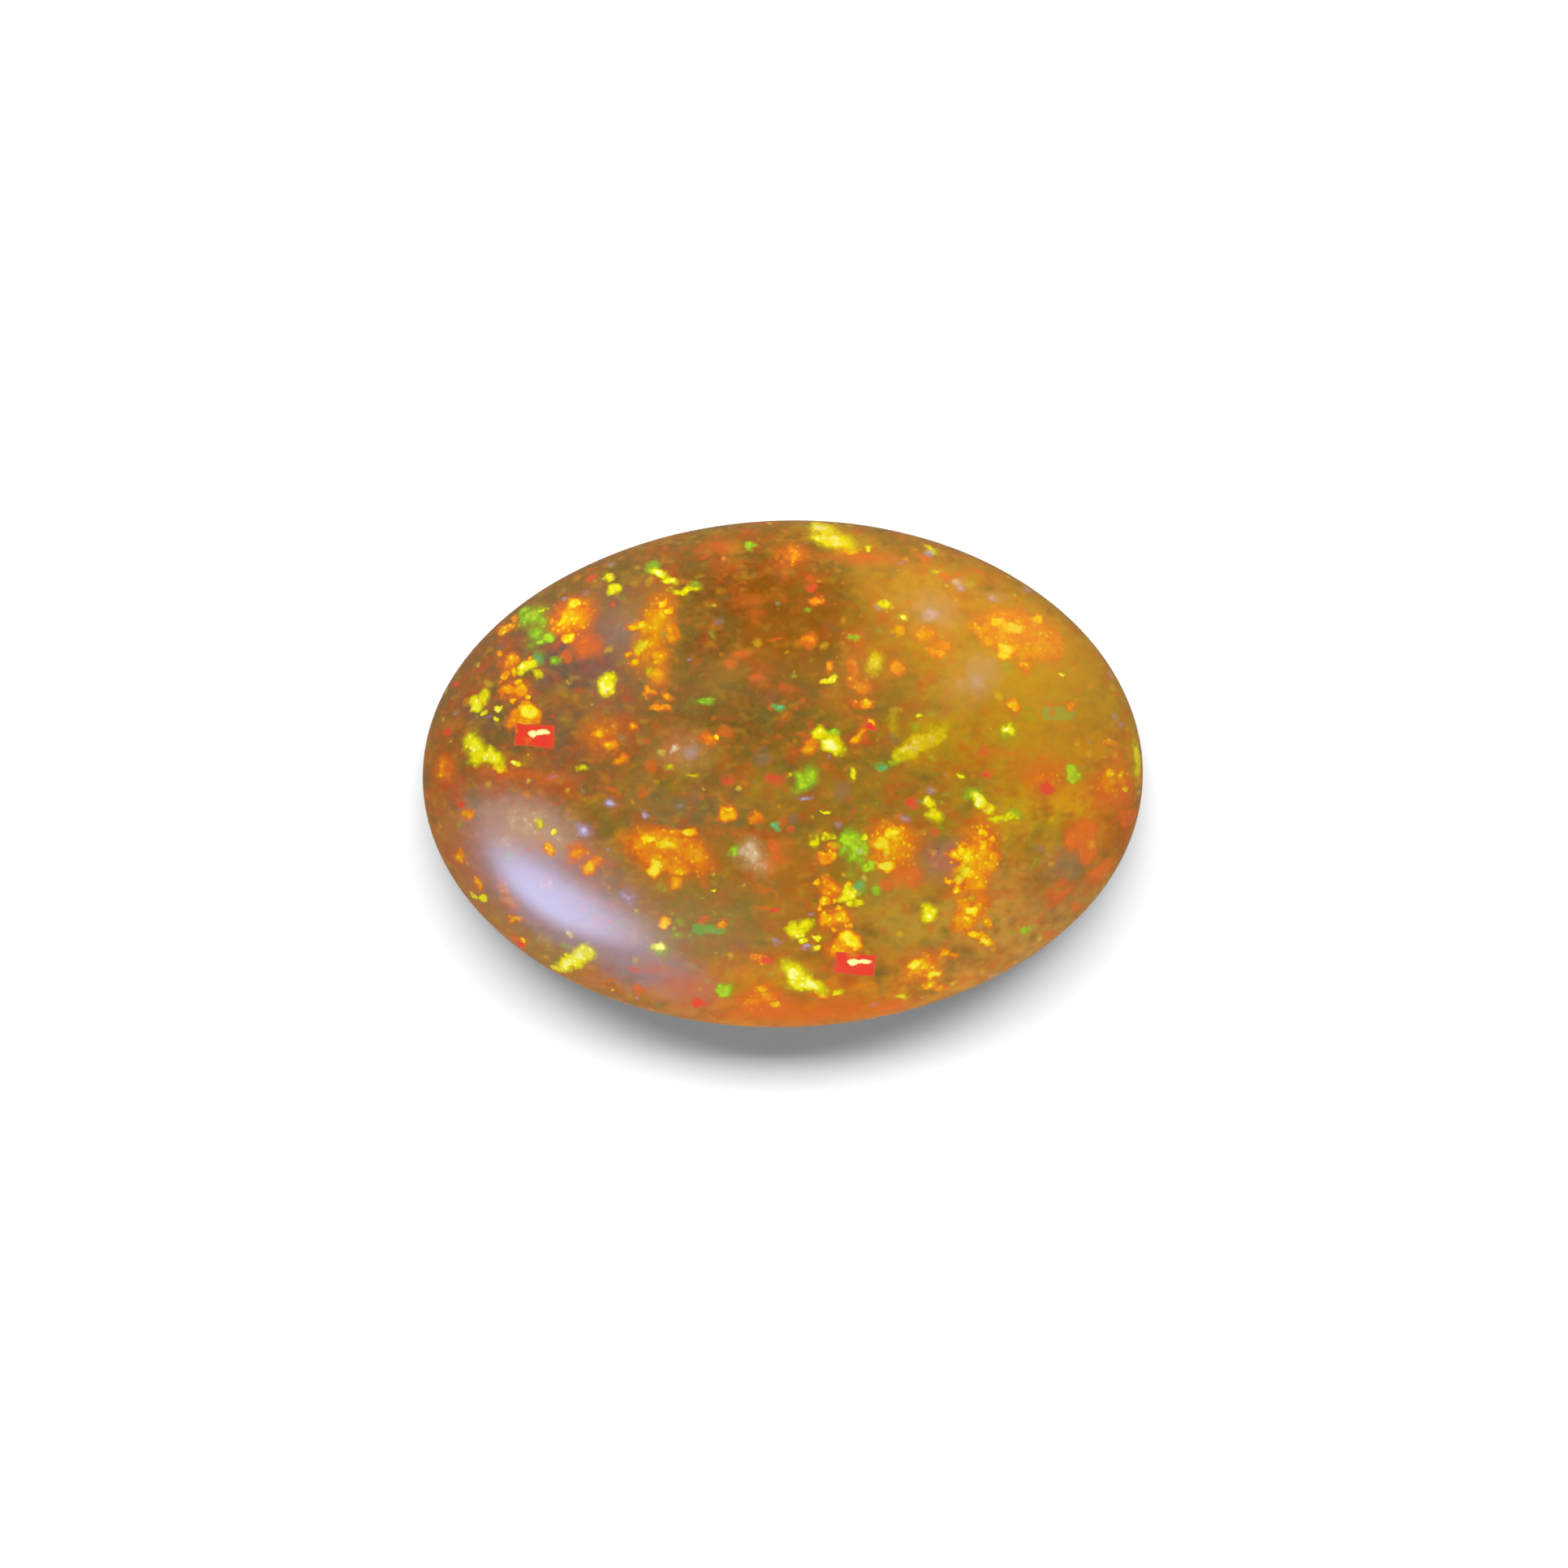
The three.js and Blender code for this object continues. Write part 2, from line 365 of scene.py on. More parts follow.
yellowFlakes = (
    (-6.08, 0.56, 0.30, 0.17, -50, 0.70, 0.94), (-5.80, 0.34, 0.34, 0.15, -24, 0.70, 0.94),
    (-6.06, 0.36, 0.24, 0.15, -18, 0.70, 0.90), (-4.74, 3.25, 0.06, 0.06, 0, 0.5, 0.95),
    (-5.04, 2.12, 0.17, 0.11, 20, 0.50, 0.85), (-4.87, 1.95, 0.10, 0.09, 0, 0.5, 0.70),
    (-6.12, 1.46, 0.12, 0.10, 0, 0.6, 0.75), (-5.92, 1.53, 0.14, 0.11, 0, 0.6, 0.80),
    (-6.06, 1.38, 0.14, 0.11, 0, 0.5, 0.85), (-5.92, 1.20, 0.06, 0.06, 0, 0.5, 0.80),
    (-5.66, 1.29, 0.09, 0.04, 0, 0.5, 0.95), (-5.67, 1.08, 0.07, 0.05, 30, 0.5, 0.95),
    (-3.46, 1.75, 0.15, 0.21, 14, 0.60, 0.92), (-3.46, 3.91, 0.12, 0.11, 0, 0.6, 0.85),
    (-3.33, 3.67, 0.13, 0.12, 0, 0.6, 0.85), (-2.44, 3.98, 0.18, 0.09, -40, 0.6, 0.90),
    (-2.23, 3.83, 0.13, 0.09, 0, 0.6, 0.80), (-1.95, 3.63, 0.26, 0.06, 6, 0.6, 0.70),
    (-5.23, 0.19, 0.08, 0.05, 0, 0.5, 0.80), (-4.13, -3.66, 0.47, 0.15, 33, 0.55, 0.90),
    (-3.86, -3.52, 0.17, 0.14, 0, 0.5, 0.80), (-4.42, -3.85, 0.16, 0.07, -10, 0.5, 0.75),
    (-6.07, -2.43, 0.07, 0.06, 0, 0.5, 0.80), (-5.92, -2.43, 0.10, 0.07, 0, 0.5, 0.80),
    (0.98, 0.57, 0.24, 0.15, -35, 0.70, 1.00), (0.74, 0.77, 0.14, 0.12, 0, 0.6, 0.75),
    (1.80, 2.19, 0.16, 0.21, -15, 0.80, 0.85), (0.08, -0.05, 0.05, 0.04, 0, 0.5, 0.80),
    (1.37, -0.02, 0.06, 0.10, 0, 0.5, 0.80), (0.89, -0.72, 0.09, 0.03, 0, 0.5, 0.75),
    (0.90, -1.19, 0.08, 0.07, 0, 0.5, 0.75), (0.64, -1.32, 0.11, 0.08, 0, 0.5, 0.70),
    (-2.40, -3.42, 0.11, 0.08, 0, 0.6, 0.90), (-4.51, -1.19, 0.06, 0.06, 0, 0.5, 0.90),
    (-4.82, -0.96, 0.10, 0.09, 0, 0.7, 0.85), (-2.23, 0.15, 0.09, 0.07, 0, 0.7, 0.60),
    (-1.77, -0.07, 0.09, 0.04, 0, 0.6, 0.60), (-1.38, -2.27, 0.06, 0.03, 0, 0.5, 0.90),
    (-3.37, -4.27, 0.05, 0.05, 0, 0.6, 0.95), (-4.18, -3.14, 0.06, 0.05, 0, 0.6, 0.90),
    (-4.65, -3.30, 0.15, 0.24, 0, 1.0, 0.30), (-3.94, 0.12, 0.12, 0.06, -10, 0.6, 0.60),
    (7.00, 0.28, 0.10, 0.40, 0, 0.6, 0.70), (1.08, -4.32, 0.08, 0.06, 0, 0.6, 0.80),
    (-2.80, 2.55, 0.09, 0.19, -20, 0.8, 0.52), (-2.62, 2.02, 0.07, 0.09, 0, 0.8, 0.50),
    (3.00, 3.98, 0.14, 0.05, -10, 0.7, 0.55), (2.34, 3.08, 0.08, 0.08, 0, 0.8, 0.60),
    (2.92, 4.44, 0.14, 0.07, -15, 0.7, 0.60), (2.24, 2.76, 0.12, 0.09, 0, 0.9, 0.45),
)

greenFlakes = (
    (-4.96, 3.14, 0.27, 0.25, 0, 0.80, 1.00), (-5.12, 3.26, 0.13, 0.11, 0, 0.7, 0.95),
    (-4.84, 2.84, 0.21, 0.28, 10, 0.80, 0.72), (-4.95, 2.55, 0.12, 0.14, 0, 0.9, 0.50),
    (-4.77, 3.05, 0.11, 0.10, 0, 0.5, 0.85), (-4.67, 2.67, 0.15, 0.10, 0, 0.5, 1.00),
    (-4.48, 2.22, 0.11, 0.09, 0, 0.6, 0.70), (-2.55, 4.09, 0.16, 0.14, 0, 0.7, 0.80),
    (-1.77, 3.70, 0.13, 0.09, 0, 0.6, 0.70), (-0.65, 4.50, 0.09, 0.12, 0, 0.5, 0.70),
    (-3.19, 3.46, 0.08, 0.05, 0, 0.5, 0.50), (-1.50, 1.42, 0.11, 0.07, 0, 0.5, 0.65),
    (-1.75, 1.38, 0.22, 0.11, 0, 1.0, 0.35), (-6.41, -1.01, 0.10, 0.04, 45, 0.6, 0.55),
    (-2.05, -2.97, 0.13, 0.06, 0, 0.6, 0.45), (-2.05, -3.18, 0.16, 0.09, 0, 0.8, 0.45),
    (-1.17, -4.27, 0.15, 0.13, 0, 0.5, 0.90), (-4.27, -3.38, 0.14, 0.07, 10, 0.7, 0.60),
    (0.99, 0.78, 0.14, 0.08, 0, 0.5, 0.75), (0.44, -0.09, 0.22, 0.18, 30, 0.6, 1.00),
    (2.26, 0.23, 0.15, 0.07, 20, 0.6, 0.65), (-5.42, -1.59, 0.10, 0.07, 0, 0.5, 0.70),
    (-1.39, 2.75, 0.06, 0.11, 0, 0.7, 0.55), (-2.43, -2.20, 0.14, 0.13, 0, 0.8, 0.35),
    (-2.42, -3.48, 0.20, 0.16, 0, 0.8, 0.50), (-0.92, -1.50, 0.09, 0.10, 0, 0.8, 0.80),
)

tealFlakes = (
    (-0.09, 1.28, 0.10, 0.09, 0, 0.8, 0.9), (1.95, 0.13, 0.10, 0.09, 0, 0.8, 0.9),
    (-4.86, 2.28, 0.15, 0.12, 0, 0.9, 0.7), (-0.19, -1.01, 0.11, 0.07, 0, 0.8, 1.0),
    (-1.60, -3.05, 0.15, 0.11, 0, 0.3, 0.40), (-1.34, -3.08, 0.20, 0.09, 0, 0.3, 0.40),
)

creamFlakes = (
    (-0.62, -1.60, 0.26, 0.30, 20, 1.0, 0.95), (-0.42, -1.80, 0.24, 0.24, 0, 1.0, 0.75),
    (3.76, 1.88, 0.60, 0.44, 40, 1.0, 0.45), (2.90, 3.15, 0.60, 0.36, -20, 1.0, 0.40),
    (3.45, 3.75, 0.18, 0.11, 0, 1.0, 0.80), (4.20, 3.50, 0.24, 0.12, 0, 1.0, 0.50),
    (-1.95, 0.45, 0.55, 0.40, 0, 1.0, 0.50), (-2.10, 0.50, 0.14, 0.10, 0, 0.9, 0.80),
)

# pale pink specks at the upper end of the polish highlight: partly the stone's pale patch, partly the
# highlight's painted halo, so they do not repeat with the growth
peachAndPaintedHaloFlakes = (
    (-5.05, -1.00, 0.75, 0.34, -20, 1.0, 0.70), (-4.86, -0.88, 0.26, 0.20, 0, 1.0, 0.80),
    (-5.45, -1.30, 0.34, 0.26, 0, 1.0, 0.70), (-4.35, -1.35, 0.30, 0.16, -20, 1.0, 0.55),
)

redFlakes = (
    (-3.79, 3.90, 0.09, 0.08, 0, 0.5, 0.8), (-3.36, 3.34, 0.06, 0.06, 0, 0.6, 0.8),
    (-2.33, 4.47, 0.06, 0.05, 0, 0.6, 0.8), (-1.17, 4.22, 0.08, 0.06, 0, 0.8, 0.7),
    (-6.49, 1.80, 0.06, 0.06, 0, 0.4, 0.9), (-6.63, 0.84, 0.12, 0.04, 0, 0.5, 0.8),
    (-6.36, -0.58, 0.12, 0.06, 0, 0.5, 0.8), (-1.68, -4.53, 0.13, 0.12, 0, 0.5, 0.9),
    (-2.93, -3.83, 0.12, 0.08, 0, 0.8, 0.5), (-5.15, -3.37, 0.07, 0.06, 0, 0.4, 1.0),
    (0.18, -1.09, 0.06, 0.05, 0, 0.6, 0.7), (-1.09, -0.14, 0.12, 0.11, 0, 0.7, 0.72),
    (-0.15, -0.14, 0.15, 0.13, 0, 0.7, 0.66),
)

lilacFlakes = (
    (-3.92, 3.60, 0.08, 0.07, 0, 0.8, 0.7), (-3.42, 4.17, 0.08, 0.07, 0, 0.8, 0.6),
    (-3.10, 2.80, 0.60, 0.40, 0, 1.0, 0.35), (-6.44, 1.19, 0.10, 0.05, 0, 0.8, 0.6),
    (-5.83, 1.09, 0.09, 0.04, 0, 0.8, 0.7), (-1.24, 3.02, 0.09, 0.06, 0, 0.9, 0.4),
    (-3.96, -1.13, 0.15, 0.12, 0, 0.8, 1.0), (-3.37, -0.61, 0.10, 0.08, 0, 0.8, 0.9),
    (-2.72, -0.83, 0.08, 0.07, 0, 0.8, 0.8), (0.43, -0.49, 0.11, 0.05, 0, 0.8, 0.8),
    (-0.20, -3.28, 0.07, 0.06, 0, 0.8, 0.6), (-1.83, 0.43, 0.16, 0.12, 0, 1.0, 0.8),
    (-3.05, -2.43, 0.15, 0.16, 0, 1.0, 0.8), (-2.08, -0.63, 0.10, 0.07, 0, 0.8, 0.6),
    (-4.53, -0.07, 0.11, 0.05, 0, 0.8, 0.6),
)

# soft areas of body colour: x, y, half length, half width, turn, strength, colour; besides the stone's own
# zoning they hold painted light: a brighter bottom edge and a painted glow through the right half
bodyAndPaintedLightZones = (
    (-4.6, 1.4, 3.8, 4.0, 20, 0.95, srgb(120, 88, 66)),
    (-6.6, -1.2, 1.7, 2.6, 0, 0.85, srgb(186, 94, 36)),
    (-4.9, -0.2, 2.6, 0.7, -3, 0.90, srgb(190, 92, 56)),
    (-3.5, 2.5, 1.9, 1.7, 20, 0.85, srgb(100, 82, 86)),
    (-4.2, -2.4, 1.9, 1.2, -38, 0.80, srgb(134, 92, 72)),
    (-2.6, 4.2, 2.4, 1.0, 20, 0.75, srgb(128, 86, 50)),
    (-0.3, 3.1, 2.5, 2.2, -10, 1.00, srgb(118, 64, 4)),
    (-0.9, 1.1, 2.4, 1.9, 0, 0.90, srgb(106, 78, 28)),
    (-1.6, 2.8, 1.2, 1.4, 0, 0.80, srgb(96, 68, 30)),
    (-1.8, -0.6, 2.0, 1.1, 0, 0.70, srgb(110, 102, 76)),
    # the gold of the right half: partly the stone's own amber, partly a painted glow of light that passes
    # through the stone from the lit side
    (4.6, 1.4, 4.2, 3.8, 0, 1.00, srgb(190, 140, 14)),
    (2.9, 3.4, 2.6, 1.3, -30, 0.90, srgb(196, 136, 38)),
    (2.0, 1.6, 1.6, 1.2, 0, 0.60, srgb(166, 112, 12)),
    (6.2, -0.7, 1.9, 2.1, 20, 0.95, srgb(226, 144, 22)),
    (4.9, -1.0, 1.8, 1.1, 0, 0.60, srgb(228, 178, 22)),
    (6.8, -1.3, 0.9, 1.5, 12, 0.80, srgb(172, 80, 14)),
    (4.6, -2.8, 2.6, 1.8, 30, 0.85, srgb(214, 152, 72)),
    (5.3, -2.1, 1.3, 1.0, 45, 0.60, srgb(158, 110, 60)),
    (2.3, -0.6, 1.6, 1.2, 0, 0.50, srgb(160, 132, 28)),
    (2.6, -2.6, 2.0, 1.5, 0, 0.65, srgb(196, 156, 58)),
    (2.8, -4.1, 1.6, 0.7, 10, 0.65, srgb(230, 172, 84)),
    # bright orange along the bottom edge: partly the stone's own orange, partly painted light that lifts the
    # shade of the lower slope
    (0.6, -4.6, 5.2, 1.7, 0, 1.00, srgb(226, 132, 16)),
    (-2.6, -4.2, 2.2, 1.1, -14, 0.80, srgb(186, 112, 70)),
    (-1.6, -2.6, 1.8, 1.1, 0, 0.70, srgb(138, 114, 56)),
)
bodyBase = srgb(154, 110, 34)

# milky areas below the flakes, in the same form; some hold painted light: the mauve and pink around the lower
# left are partly the stone's own mauve, partly the painted halo of the polish highlight, and the gold on the
# right is partly a painted glow
hazeAndPaintedLightZones = (
    # mauve and pink around the polish highlight and its tail: partly the stone's own mauve, partly its
    # painted halo
    (-4.4, -2.1, 3.1, 1.7, -36, 0.55, srgb(170, 136, 142)),
    (-4.9, -1.10, 1.6, 1.0, -20, 0.55, srgb(200, 164, 166)),
    (-2.6, -3.7, 1.8, 0.7, -22, 0.60, srgb(160, 136, 156)),
    (-3.3, 2.5, 1.8, 1.5, 20, 0.45, srgb(112, 86, 88)),
    (-1.6, 1.5, 1.9, 1.2, 0, 0.40, srgb(120, 90, 50)),
    (-1.3, -2.7, 2.2, 1.2, 0, 0.45, srgb(140, 116, 62)),
    (5.5, -1.7, 0.6, 0.5, 40, 0.45, srgb(154, 120, 92)),
    (0.1, 2.7, 2.0, 1.7, 0, 0.50, srgb(146, 86, 16)),
    # gold on the right: partly the stone's own amber, partly a painted glow of light passing through the
    # stone
    (4.6, 1.4, 2.8, 2.4, 0, 0.35, srgb(206, 154, 28)),
)

# golden and milky areas above the flakes, in the same form; some hold painted light: the gold over the upper
# right is partly a painted glow of light passing through the stone, and one flat mauve patch under the polish
# highlight is painted reflection
veilAndPaintedLightZones = (
    # gold over the upper right: partly the stone's own amber, partly a painted glow of light passing through
    # the stone
    (3.5, 2.7, 3.0, 1.7, -28, 0.28, srgb(194, 138, 40)),
    (5.8, 1.2, 1.8, 2.2, 0, 0.22, srgb(174, 126, 40)),
    (2.75, 0.6, 0.9, 0.6, 33, 0.70, srgb(170, 126, 12)),
    (0.95, 4.65, 0.9, 0.45, -25, 0.35, srgb(186, 140, 10)),
    (0.9, -4.75, 2.4, 0.55, 4, 0.50, srgb(182, 84, 4)),
    (1.95, -1.5, 0.8, 0.7, 0, 0.25, srgb(164, 116, 6)),
    (-2.5, 2.5, 1.0, 1.4, -10, 0.30, srgb(146, 116, 10)),
    (-1.9, -1.55, 1.3, 0.9, 0, 0.22, srgb(150, 88, 30)),
    (4.7, 2.75, 1.1, 0.7, -14, 0.30, srgb(204, 124, 34)),
    (1.6, 2.0, 0.9, 0.8, 0, 0.42, srgb(172, 104, 28)),
    (2.9, 3.15, 0.7, 0.45, -20, 0.45, srgb(180, 136, 76)),
    (3.76, 1.88, 0.65, 0.48, 40, 0.50, srgb(170, 134, 76)),
    # a flat mauve patch under the polish highlight: painted reflection that hides the flakes there and gives
    # part of the highlight's lavender
    (-4.7, -2.28, 1.9, 0.85, -42, 0.85, srgb(148, 122, 128)),
)


# node groups that the opal is painted with

def makeFlakeGroup(name, squared=False):
    # one flake inside the stone: an ellipsoid, or a block, that is hottest in its middle
    group, given, result = newGroup(
        name, {"Place": "Vector", "Centre": "Vector", "Size": "Vector", "Softness": "Float", "Heat": "Float"},
        {"Heat": "Float"})
    shrink = vectorCalc(group, "DIVIDE", (1, 1, 1), given["Size"])
    away = vectorCalc(group, "MULTIPLY", given["Centre"], (-1, -1, -1))
    shift = vectorCalc(group, "MULTIPLY", away, shrink)
    spot = vectorCalc(group, "MULTIPLY_ADD", given["Place"], shrink, shift)
    if squared:
        sides = addNode(group, "ShaderNodeSeparateXYZ", {0: vectorCalc(group, "ABSOLUTE", spot)}).outputs
        reach = calc(group, "MAXIMUM", calc(group, "MAXIMUM", sides["X"], sides["Y"]), sides["Z"])
    else:
        reach = vectorCalc(group, "LENGTH", spot)
    steepness = calc(group, "DIVIDE", given["Heat"], given["Softness"])
    rise = calc(group, "MULTIPLY_ADD", reach, calc(group, "MULTIPLY", steepness, -1.0), steepness)
    group.links.new(calc(group, "MINIMUM", rise, given["Heat"]), result["Heat"])
    return group


flakeGroup = makeFlakeGroup("one flake")
blockGroup = makeFlakeGroup("one squared flake", squared=True)

pattern = {
    # the same growth shows up again so many mm to the right and up
    "repeats": ((0.0, 0.0), (6.33, -4.51), (6.88, 4.26)),
    "growth": 1.6,  # the flakes' soft sides reach this much further out
    "slopeStep": 0.02,  # share of the way inwards over which the slope of the dome is taken
    "column": 2.2,  # how deep a flake reaches, for its length
    "columnCap": 0.9,  # mm beyond its length that it reaches at most
    "chipReach": (0.16, 0.55),  # the smallest and the largest chip, in cells
    "zoneRaggedness": 1.5,  # how far a soft area follows the wander of the flakes
    "zoneHeight": (2.0, 6.0),  # mm, middle and half height
    "zoneFull": 0.7,  # heat at which it has its full strength
}


def domeHeight(x, y):
    # height in mm of the surface above a place in mm, or None beside the stone
    spread = math.hypot(x / (halfLength * 1000), y / (halfWidth * 1000))
    if spread >= 1:
        return None
    rise = math.sqrt(1 - spread ** stone["crownFlatness"])
    return 1000 * (stone["girdleHeight"] + (stoneHeight - stone["girdleHeight"]) * rise)


def turnedCentre(x, y, z, turn):
    # a place in the frame of a flake that is turned by so many degrees
    cosine, sine = math.cos(math.radians(turn)), math.sin(math.radians(turn))
    return (x * cosine + y * sine, y * cosine - x * sine, z)


def onDome(x, y):
    # the place on the dome where the camera sees a point that lies at x, y of the girdle's level
    share = 1.0
    for _ in range(4):
        rise = domeHeight(x * share, y * share) - 1000 * stone["girdleHeight"]
        share = 1 - rise / cameraDistance
    return x * share, y * share, domeHeight(x * share, y * share)


def flakeFeeds(seenX, seenY, long, wide, turn, softness, heat):
    # centre and size of a flake that lies at the surface of the dome
    x, y, middle = onDome(seenX, seenY)
    step, grow = pattern["slopeStep"], pattern["growth"]
    inner = domeHeight(x * (1 - step), y * (1 - step))
    slope = (inner - middle) / (step * math.hypot(x, y) + 0.001)
    deep = min(pattern["column"] * long * max(1.0, slope), pattern["columnCap"] + long)
    return {"Centre": turnedCentre(x, y, middle, turn), "Size": (long * grow, wide * grow, deep),
            "Softness": softness, "Heat": heat}


def turnedPlaces(group, place, turns):
    # the place seen in the frame of each turn that the flakes have
    places = {0: place}
    for turn in sorted(set(turns) - {0}):
        places[turn] = addNode(group, "ShaderNodeVectorRotate",
                               {"Vector": place, "Angle": math.radians(turn)},
                               rotation_type="Z_AXIS", invert=True).outputs["Vector"]
    return places


def placedFlakes(name, flakes, shape, raggedness, repeats):
    # all flakes of one kind, each one wherever it shows up; the hottest wins
    group, given, result = newGroup(name, {"Place": "Vector", "Ragged": "Vector"}, {"Heat": "Float"})
    place = vectorCalc(group, "MULTIPLY_ADD", given["Ragged"], (raggedness,) * 3, given["Place"])
    places = turnedPlaces(group, place, [flake[4] for flake in flakes])
    heat = None
    for shiftX, shiftY in repeats:
        for x, y, long, wide, turn, softness, ownHeat in flakes:
            if domeHeight(x + shiftX, y + shiftY) is None:
                continue
            feeds = flakeFeeds(x + shiftX, y + shiftY, long, wide, turn, softness, ownHeat)
            feeds["Place"] = places[turn]
            one = useGroup(group, shape, feeds)["Heat"]
            heat = one if heat is None else calc(group, "MAXIMUM", heat, one)
    group.links.new(heat, result["Heat"])
    return group


def makeChipGroup():
    # small angular chips scattered through the stone, only a share of the cells is lit
    group, given, result = newGroup(
        "scattered chips", {"Place": "Vector", "Cells per mm": "Float", "Share": "Float"},
        {"Heat": "Float", "Pick": "Float"})
    cell = addNode(group, "ShaderNodeTexVoronoi", {"Vector": given["Place"], "Scale": given["Cells per mm"]},
                   voronoi_dimensions="3D", feature="F1", distance="EUCLIDEAN")
    chance = addNode(group, "ShaderNodeSeparateColor", {0: cell.outputs["Color"]}).outputs
    lit = calc(group, "LESS_THAN", chance[0], given["Share"])
    reach = ranged(group, chance[1], 0.0, 1.0, *pattern["chipReach"])
    cone = calc(group, "SUBTRACT", 1.0, calc(group, "DIVIDE", cell.outputs["Distance"], reach))
    heat = calc(group, "MULTIPLY", lit, calc(group, "MAXIMUM", cone, 0.0))
    group.links.new(heat, result["Heat"])
    group.links.new(chance[2], result["Pick"])
    return group


chipGroup = makeChipGroup()


def makeZoneGroup(name, zones):
    # wide soft areas that flow into each other, laid over the colour that comes in
    group, given, result = newGroup(
        name, {"Color": "Color", "Place": "Vector", "Ragged": "Vector"}, {"Color": "Color"})
    pull = (pattern["zoneRaggedness"],) * 3
    place = vectorCalc(group, "MULTIPLY_ADD", given["Ragged"], pull, given["Place"])
    places = turnedPlaces(group, place, [zone[4] for zone in zones])
    colour = given["Color"]
    for x, y, long, wide, turn, strength, zoneColour in zones:
        middle, tall = pattern["zoneHeight"]
        feeds = {"Place": places[turn], "Centre": turnedCentre(x, y, middle, turn),
                 "Size": (long, wide, tall), "Softness": 1.0, "Heat": 1.0}
        heat = useGroup(group, flakeGroup, feeds)["Heat"]
        cover = ranged(group, heat, 0.0, pattern["zoneFull"], 0.0, strength, smooth=True)
        colour = mixed(group, cover, colour, zoneColour)
    group.links.new(colour, result["Color"])
    return group


# heat to colour for each kind of flake
fireColours = (
    (0.00, srgb(204, 88, 36)), (0.25, srgb(214, 102, 28)), (0.42, srgb(222, 124, 22)),
    (0.62, srgb(226, 154, 18)), (0.82, srgb(236, 192, 12)), (0.95, srgb(240, 212, 20)),
    (1.00, srgb(240, 220, 60)),
)
emberColours = (
    (0.00, srgb(190, 98, 34)), (0.20, srgb(204, 98, 36)), (0.36, srgb(214, 96, 36)),
    (0.60, srgb(226, 120, 40)),
)
yellowColours = (
    (0.00, srgb(150, 120, 26)), (0.20, srgb(172, 152, 18)), (0.45, srgb(196, 184, 10)),
    (0.75, srgb(222, 208, 10)), (0.95, srgb(236, 222, 40)), (1.00, srgb(244, 234, 130)),
)
greenColours = (
    (0.00, srgb(144, 124, 36)), (0.20, srgb(140, 142, 34)), (0.45, srgb(138, 160, 34)),
    (0.72, srgb(128, 186, 32)), (1.00, srgb(176, 208, 38)),
)
redColours = ((0.00, srgb(190, 90, 48)), (0.45, srgb(208, 84, 48)), (0.75, srgb(218, 76, 48)),
              (1.00, srgb(226, 62, 42)))
tealColours = ((0.00, srgb(120, 136, 50)), (0.40, srgb(96, 172, 62)), (0.70, srgb(92, 166, 112)),
               (1.00, srgb(130, 190, 150)))
creamColours = ((0.00, srgb(184, 126, 66)), (0.50, srgb(196, 148, 98)), (1.00, srgb(226, 200, 164)))
lilacColours = ((0.00, srgb(150, 112, 100)), (0.50, srgb(160, 132, 156)), (1.00, srgb(196, 186, 220)))
chipColours = (
    (0.00, srgb(222, 72, 42)), (0.20, srgb(216, 92, 38)), (0.40, srgb(206, 118, 26)),
    (0.58, srgb(226, 158, 24)), (0.72, srgb(222, 186, 36)), (0.80, srgb(232, 210, 80)),
    (0.86, srgb(150, 160, 40)), (0.94, srgb(112, 150, 70)), (1.00, srgb(168, 146, 180)),
)
moodColours = (
    (0.00, srgb(190, 74, 34)), (0.20, srgb(204, 102, 26)), (0.42, srgb(216, 146, 28)),
    (0.60, srgb(120, 122, 28)), (0.80, srgb(112, 86, 50)), (1.00, srgb(146, 116, 108)),
)

opalLook = {
    "growth": (1.0, 1.0, 0.45),  # the colours grew taller than wide
    "noiseReach": 4,  # brings a noise, which keeps near its middle, to about one
    "wanderSize": 3.6,  # waves per mm in the sides of the flakes
    "wander": 0.06,  # mm that they wander
    "fraySize": 7.0,  # per mm
    "fray": 0.03,  # mm
    "depth": (0.87, 0.87, 0.77, 1.0),  # the light that the body keeps to itself, between the flakes
    "flakeDepth": (0.80, 0.83, 0.84, 1.0),  # and what the flakes and the body keep together
    "grainSize": 10.0,  # granules per mm
    "grainPull": 0.22,  # how far a flake follows its granules
    "broadShake": 0.9,  # how strongly the colour changes inside a flake, over its waves
    "fineShake": 0.7,  # and over its fray
    "bodyGrain": 0.08,  # how far single granules of the body differ
    "grainColour": srgb(214, 160, 76),
    "cloudStretch": (0.75, 1.0, 1.0),
    "cloudRoughness": 0.6,
    "beads": 0.9,  # heat of the small round beads in a flake
    "beadFall": 2.2,  # how fast it falls off from the middle of a granule
    "firstHeat": 0.02,  # heat at which a flake begins to show
    "flakeTilt": 0.3,  # how far the granules of a flake lean out of the surface
    "roughness": 0.35,
    "ior": 1.45,
    "coat": 0.9,  # the polish
    "coatRoughness": 0.10,
    "coatIor": 1.33,
}

backLook = {
    "level": 0.03,  # mm, what lies lower is ground
    "paleness": 0.35,
    "colour": srgb(196, 150, 100),
    "coat": 0.2,
    "scratchSize": (1.2, 26.0, 1.0),  # per mm, along and across
    "scratchTilt": 0.35,
}

